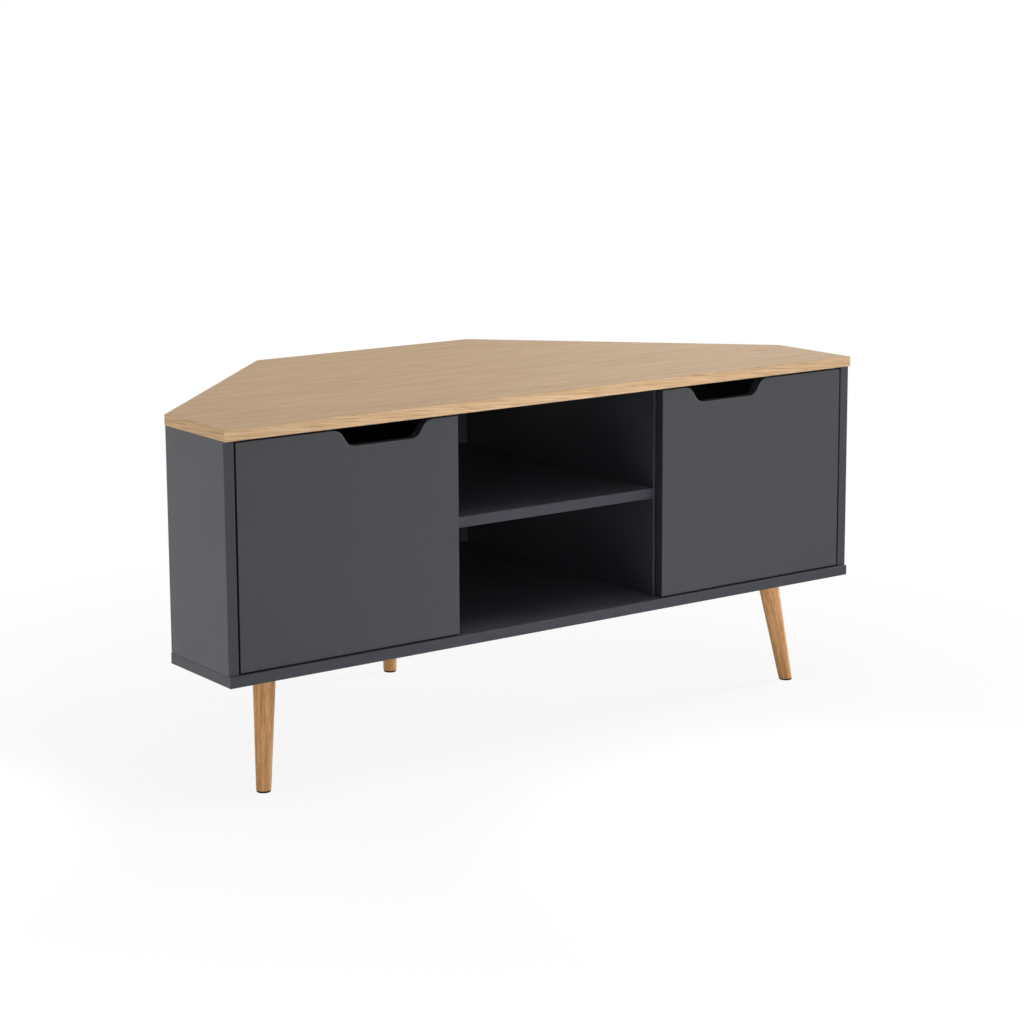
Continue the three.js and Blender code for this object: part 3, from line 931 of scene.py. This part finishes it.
@dataclass
class Door:
    """A door leaf with its hinges and the bumpers that it closes on."""

    side: Side
    bumper_x: float = 0.1965
    bumper_seat_y: float = -0.253
    bumper_radius: float = 0.004
    bumper_height: float = 0.0017
    dome: float = 0.8
    dome_steps: int = 5
    bumper_facets: int = 32
    bumper_heights: dict[str, float] = field(default_factory=lambda: {"top": 0.486, "bottom": 0.223})
    hinge_heights: dict[Level, float] = field(
        default_factory=lambda: {Level.UPPER: 0.456, Level.LOWER: 0.253})

    def bumper(self, height: float) -> bmesh.types.BMesh:
        """Builds a domed bumper on the divider's front edge.

        Args:
            height: Height of its middle.

        Returns:
            The bumper's bmesh.
        """
        shape = stub(self.bumper_radius, self.bumper_height, self.bumper_facets)
        round_rim(shape, self.bumper_height, self.bumper_height * self.dome, self.dome_steps)
        seat = Vector((self.side.value * self.bumper_x, self.bumper_seat_y, height))
        turn = Matrix.Rotation(math.pi / 2, 4, "X")
        bmesh.ops.transform(shape, verts=shape.verts, matrix=Matrix.Translation(seat) @ turn)
        return shape

    def build(self, leaf: bpy.types.Material, nickel: bpy.types.Material,
              zinc: bpy.types.Material, silicone: bpy.types.Material) -> None:
        """Dresses the door and builds its bumpers and hinge screws.

        Args:
            leaf: The door's material.
            nickel: Material of hinge cups and arms.
            zinc: Material of pins, plates and screws.
            silicone: The bumpers' material.
        """
        dress(f"{self.side.word}_door", leaf)
        for end, height in self.bumper_heights.items():
            node = f"{self.side.word}_bumper_{end}"
            finished_piece(f"{node}_dome", self.bumper(height), silicone, "cabinet",
                           replaced=[node])
        for level, height in self.hinge_heights.items():
            Hinge(self.side, level, height).build(nickel, zinc)


@dataclass
class Lamp:
    """A square soft light aimed at a point.

    A narrow spread keeps its light together: two lamps hang before the front and beside the left
    side, face away from the cabinet and light a patch of floor each. The floor throws that light
    up on the front and on the left side.
    """

    name: str
    azimuth: float
    elevation: float
    distance: float
    size: float
    power: float
    target: tuple[float, float, float] = (0.0, 0.0, 0.3)
    spread: float = 180.0

    def build(self) -> None:
        """Adds the lamp to the scene."""
        light = bpy.data.lights.new(self.name, "AREA")
        light.shape = "SQUARE"
        light.size = self.size
        light.energy = self.power
        light.spread = math.radians(self.spread)
        thing = bpy.data.objects.new(self.name, light)
        turn, rise = math.radians(self.azimuth), math.radians(self.elevation)
        back = Vector((math.sin(turn) * math.cos(rise), -math.cos(turn) * math.cos(rise),
                       math.sin(rise)))
        thing.location = Vector(self.target) + back * self.distance
        thing.rotation_euler = (-back).to_track_quat("-Z", "Y").to_euler()
        bpy.context.scene.collection.objects.link(thing)
        log.info("lit %s", self.name)


@dataclass
class Studio:
    """White studio: floor, world, lamps and the camera at the photograph's place."""

    camera_place: tuple[float, float, float] = (-2.2126, -3.2058, 1.1133)
    azimuth: float = 35.820
    down: float = 9.850
    roll: float = -0.281
    lens: float = 88.377
    sensor: float = 36.0
    shift_y: float = -0.0801
    far_clip: float = 100.0
    world_level: float = 0.16
    floor_colour: str = "#F4F4F4"
    floor_reach: float = 30.0
    floor_white: float = 0.9
    floor_near: float = 0.6
    floor_far: float = 1.2
    lamps: tuple[Lamp, ...] = (
        Lamp("overhead", azimuth=-10, elevation=82, distance=3.2, size=2.2, power=30),
        Lamp("key", azimuth=84, elevation=12, distance=8.0, size=1.8, power=560),
        Lamp("fill", azimuth=-14, elevation=8, distance=6.0, size=2.0, power=58),
        Lamp("left", azimuth=-96, elevation=18, distance=7.0, size=2.6, power=48),
        Lamp("rear_right", azimuth=130, elevation=12, distance=4.0, size=1.7, power=16),
        Lamp("front_floor", azimuth=180, elevation=75, distance=1.95, size=0.3, power=6.5,
             target=(0.1, -0.97, 0.0), spread=34.0),
        Lamp("left_floor", azimuth=90, elevation=76, distance=1.95, size=0.25, power=9.0,
             target=(-1.25, 0.0, 0.0), spread=30.0),
    )

    def seen_white(self, tree: bpy.types.NodeTree) -> bpy.types.NodeSocket:
        """Tells rays that show the background from rays that only carry its light.

        Args:
            tree: The tree that needs the value.

        Returns:
            The socket of a value that is one for rays from the camera, off a glossy surface or
            through a clear one, and zero for the rest.
        """
        path = add_node(tree, "ShaderNodeLightPath").outputs
        first = add_node(tree, "ShaderNodeMath",
                         {0: path["Is Camera Ray"], 1: path["Is Glossy Ray"]}, operation="MAXIMUM")
        both = add_node(tree, "ShaderNodeMath",
                        {0: first.outputs[0], 1: path["Is Transmission Ray"]}, operation="MAXIMUM")
        return both.outputs[0]

    def world(self) -> None:
        """Lights the room evenly and shows it white."""
        room = bpy.data.worlds.new("white_room")
        bpy.context.scene.world = room
        room.use_nodes = True
        tree = room.node_tree
        tree.nodes.clear()
        level = band(tree, self.seen_white(tree), 0.0, 1.0, self.world_level, 1.0)
        shown = add_node(tree, "ShaderNodeBackground", {"Color": (1, 1, 1, 1), "Strength": level})
        add_node(tree, "ShaderNodeOutputWorld", {"Surface": shown.outputs[0]})

    def floor(self) -> None:
        """Lays a pale floor that keeps a soft shadow and fades into the white background."""
        material, tree = new_material("pale_floor")
        matt = add_node(tree, "ShaderNodeBsdfDiffuse", {"Color": linear(self.floor_colour)})
        white = add_node(tree, "ShaderNodeEmission", {"Color": (1, 1, 1, 1), "Strength": 1.0})
        place = add_node(tree, "ShaderNodeTexCoord").outputs["Object"]
        away = add_node(tree, "ShaderNodeVectorMath", {0: place}, operation="LENGTH")
        share = band(tree, away.outputs["Value"], self.floor_near, self.floor_far,
                     self.floor_white, 1.0)
        part = add_node(tree, "ShaderNodeMath", {0: share, 1: self.seen_white(tree)},
                        operation="MULTIPLY").outputs[0]
        mixed = add_node(tree, "ShaderNodeMixShader",
                         {0: part, 1: matt.outputs[0], 2: white.outputs[0]})
        add_node(tree, "ShaderNodeOutputMaterial", {"Surface": mixed.outputs[0]})
        shape = bmesh.new()
        bmesh.ops.create_grid(shape, x_segments=1, y_segments=1, size=self.floor_reach)
        mesh = bpy.data.meshes.new("floor")
        shape.to_mesh(mesh)
        shape.free()
        mesh.materials.append(material)
        ground = bpy.data.objects.new("floor", mesh)
        bpy.context.scene.collection.objects.link(ground)

    def camera(self) -> None:
        """Places the camera."""
        data = bpy.data.cameras.new("camera")
        data.lens = self.lens
        data.sensor_width = self.sensor
        data.shift_y = self.shift_y
        data.clip_end = self.far_clip
        thing = bpy.data.objects.new("camera", data)
        turn = (Matrix.Rotation(math.radians(-self.azimuth), 4, "Z")
                @ Matrix.Rotation(math.radians(90 - self.down), 4, "X")
                @ Matrix.Rotation(math.radians(self.roll), 4, "Z"))
        thing.matrix_world = Matrix.Translation(self.camera_place) @ turn
        bpy.context.scene.collection.objects.link(thing)
        bpy.context.scene.camera = thing

    def build(self) -> None:
        """Sets the view, world, floor, lamps and camera."""
        bpy.context.scene.view_settings.view_transform = "Standard"
        self.camera()
        self.world()
        self.floor()
        for lamp in self.lamps:
            lamp.build()


def main() -> None:
    """Builds the studio and dresses the cabinet."""
    logging.basicConfig(level=logging.INFO, format="%(name)s: %(message)s")
    Studio().build()
    nickel = WorkedMetal("nickel_plated_steel", "#D2D0CA", "#CBC9C3", roughness=0.3).material()
    zinc = WorkedMetal("zinc_plated_steel", "#BEC1C3", "#B4B7BA", roughness=0.36).material()
    brass = WorkedMetal("turned_brass", "#C9A860", "#AD8B47", roughness=0.3).material()
    glide = MouldedPlastic("moulded_glide", "#221A16", "#18120F", roughness=0.8,
                           specular=0.15).material()
    silicone = MouldedPlastic("silicone_bumper", "#DADAD4", "#C6C6BF", roughness=0.35).material()
    leaf = SatinLacquer("lacquer_door", face="#35363B", edge="#313237",
                        facing=Facing.FORWARDS).material()
    Top().build()
    Carcass().build(zinc)
    for side in Side:
        Door(side).build(leaf, nickel, zinc, silicone)
    Underframe().build(glide, brass, zinc)


if __name__ == "__main__":
    main()
